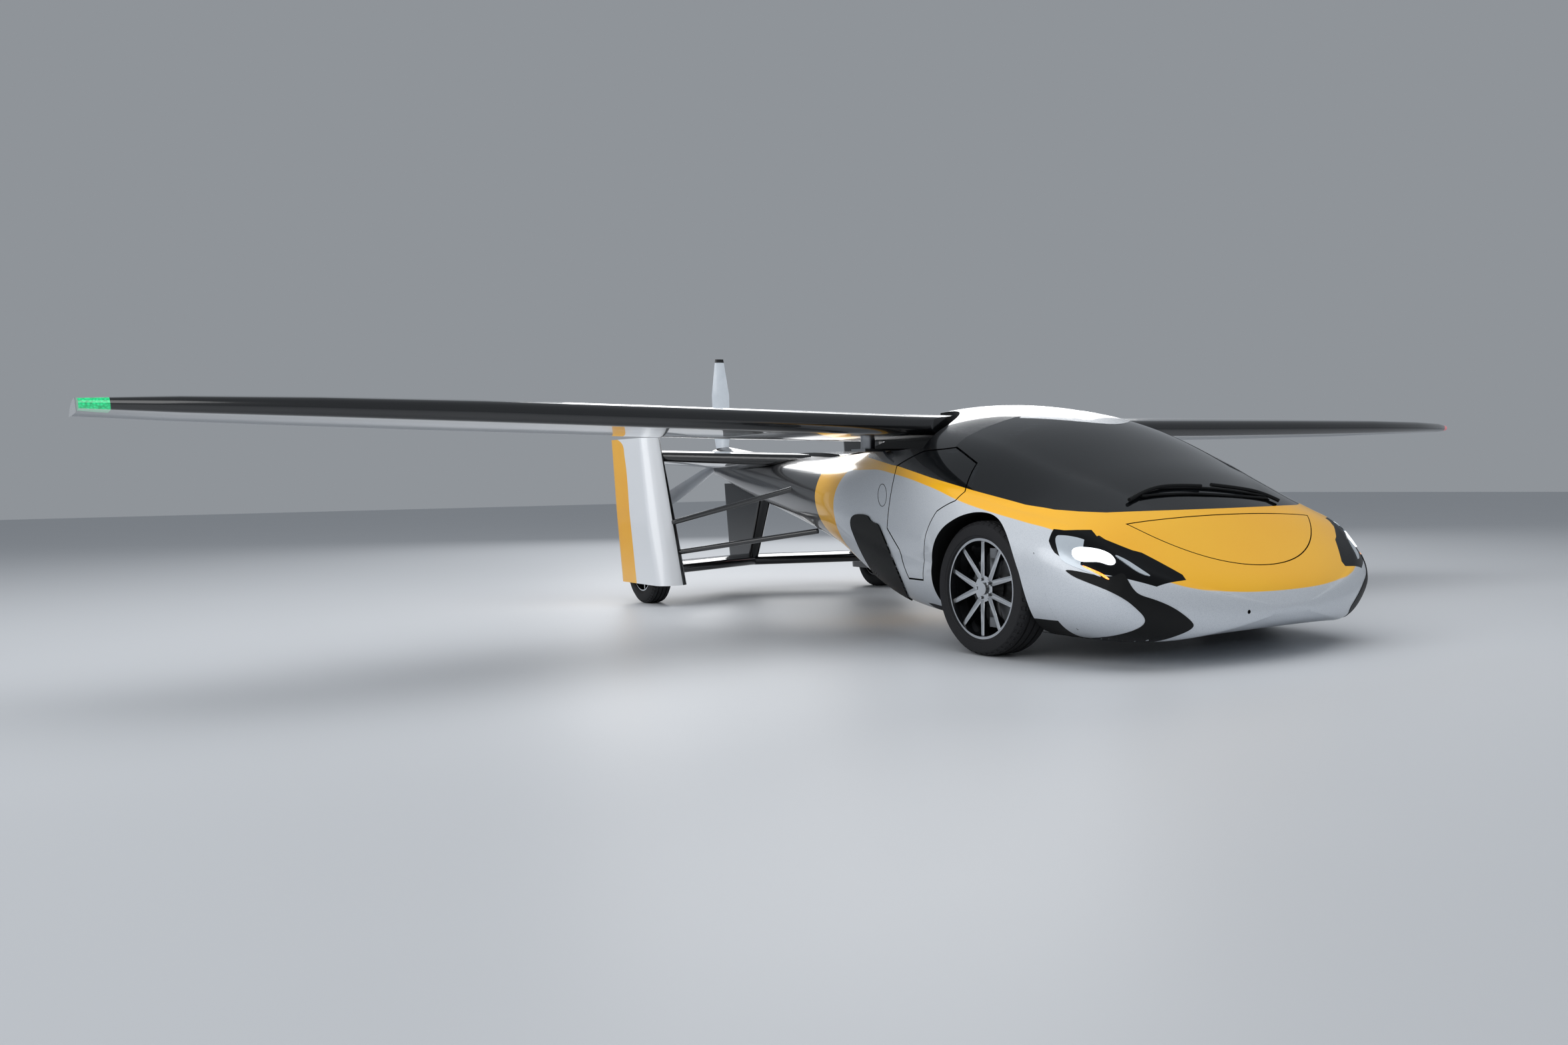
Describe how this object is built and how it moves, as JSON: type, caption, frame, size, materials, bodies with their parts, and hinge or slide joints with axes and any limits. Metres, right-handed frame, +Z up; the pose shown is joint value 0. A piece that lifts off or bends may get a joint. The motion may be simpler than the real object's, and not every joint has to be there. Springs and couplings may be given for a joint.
{
  "type": "flying car",
  "caption": "Road-going light aircraft with a hollow two-seat cabin, swing-back wings, twin tail fins on struts and a pusher propeller, standing on its wheels.",
  "frame": {"origin": "on the floor under the middle of the overall box", "axes": "+X forward to the nose, +Y to the vehicle's left, +Z up"},
  "size_m": [5.32, 8.72, 1.7229],
  "materials": {
    "paint_yellow": "two-tone gloss coat, yellow over metallic silver",
    "paint_silver": "metallic silver gloss coat",
    "paint_white": "white gloss coat",
    "gloss_black": "polished black composite",
    "satin_black": "satin black moulding",
    "tinted_glass": "dark tinted",
    "lamp_glass": "clear",
    "lamp_red": "red lens",
    "lamp_green": "green lens",
    "rim_metal": "machined face, black pockets",
    "tyre_rubber": "road rubber",
    "steel": "machined steel",
    "seat_leather": "black leather",
    "cabin_trim": "soft-touch trim",
    "engine_block": "cast"
  },
  "bodies": {
    "body": {"nose_panel": "paint_silver", "fender_right": "paint_silver", "fender_left": "paint_silver", "rear_cowl": "paint_yellow", "tail_body": "gloss_black", "head_lamps": "lamp_glass", "floor_pan": "satin_black", "wheel_housings": "satin_black", "windscreen": "tinted_glass", "roof": "paint_white", "shoulder_panels": "gloss_black", "wing_deck": "satin_black", "door_frames": "satin_black", "hood_frame": "satin_black", "wing_pins": "steel", "fin_right": "paint_yellow", "fin_left": "paint_yellow", "tail_lamps": "lamp_red", "stabilizer": "gloss_black", "lower_beam": "gloss_black", "pylon": "gloss_black", "struts": "gloss_black", "suspension_arms": "steel", "rear_axles": "steel", "seats": "seat_leather", "dashboard": "cabin_trim", "steering_wheel": "cabin_trim", "bulkhead": "cabin_trim", "engine": "engine_block"},
    "wheel_front_right": {"tyre_front_right": "tyre_rubber", "rim_front_right": "rim_metal"},
    "wheel_front_left": {"tyre_front_left": "tyre_rubber", "rim_front_left": "rim_metal"},
    "wheel_rear_right": {"tyre_rear_right": "tyre_rubber", "rim_rear_right": "rim_metal"},
    "wheel_rear_left": {"tyre_rear_left": "tyre_rubber", "rim_rear_left": "rim_metal"},
    "steer_right": {"knuckle_right": "steel"},
    "steer_left": {"knuckle_left": "steel"},
    "propeller": {"propeller": "paint_white"},
    "hood": {"hood": "paint_yellow"},
    "door_right": {"door_right": "paint_silver", "door_glass_right": "tinted_glass"},
    "door_left": {"door_left": "paint_silver", "door_glass_left": "tinted_glass"},
    "wing_right": {"wing_right": "paint_white", "nav_light_right": "lamp_green"},
    "wing_left": {"wing_left": "paint_white", "nav_light_left": "lamp_red"}
  },
  "joints": [
    {"name": "steer_right", "type": "hinge", "parent": "body", "child": "steer_right", "pos_m": [1.67, -0.86, 0.311], "axis": [0, 0, 1], "range_deg": [-30, 30]},
    {"name": "steer_left", "type": "hinge", "parent": "body", "child": "steer_left", "pos_m": [1.67, 0.86, 0.311], "axis": [0, 0, 1], "range_deg": [-30, 30]},
    {"name": "wheel_front_right_spin", "type": "hinge", "parent": "steer_right", "child": "wheel_front_right", "pos_m": [1.67, -0.88, 0.311], "axis": [0, 1, 0], "continuous": true},
    {"name": "wheel_front_left_spin", "type": "hinge", "parent": "steer_left", "child": "wheel_front_left", "pos_m": [1.67, 0.88, 0.311], "axis": [0, 1, 0], "continuous": true},
    {"name": "wheel_rear_right_spin", "type": "hinge", "parent": "body", "child": "wheel_rear_right", "pos_m": [-1.85, -0.975, 0.225], "axis": [0, 1, 0], "continuous": true},
    {"name": "wheel_rear_left_spin", "type": "hinge", "parent": "body", "child": "wheel_rear_left", "pos_m": [-1.85, 0.975, 0.225], "axis": [0, 1, 0], "continuous": true},
    {"name": "propeller_spin", "type": "hinge", "parent": "body", "child": "propeller", "pos_m": [-2.535, 0, 0.963], "axis": [1, 0, 0], "continuous": true},
    {"name": "hood_lift", "type": "hinge", "parent": "body", "child": "hood", "pos_m": [2.5387, 0, 0.415], "axis": [0, 1, 0], "range_deg": [0, 55]},
    {"name": "door_right_swing", "type": "hinge", "parent": "body", "child": "door_right", "pos_m": [1.448, -1, 0.45], "axis": [0, 0.2588, 0.9659], "range_deg": [0, 55]},
    {"name": "door_left_swing", "type": "hinge", "parent": "body", "child": "door_left", "pos_m": [1.448, 1, 0.45], "axis": [0, 0.2588, -0.9659], "range_deg": [0, 55]},
    {"name": "wing_right_fold", "type": "hinge", "parent": "body", "child": "wing_right", "pos_m": [0.52, -0.78, 1.05], "axis": [0.061, 0, 0.9981], "range_deg": [-90, 0]},
    {"name": "wing_left_fold", "type": "hinge", "parent": "body", "child": "wing_left", "pos_m": [0.52, 0.78, 1.05], "axis": [0.061, 0, 0.9981], "range_deg": [0, 90]}
  ],
  "couplings": [
    {"joint": "steer_left", "follows": "steer_right", "ratio": 1},
    {"joint": "wing_left_fold", "follows": "wing_right_fold", "ratio": -1}
  ]
}
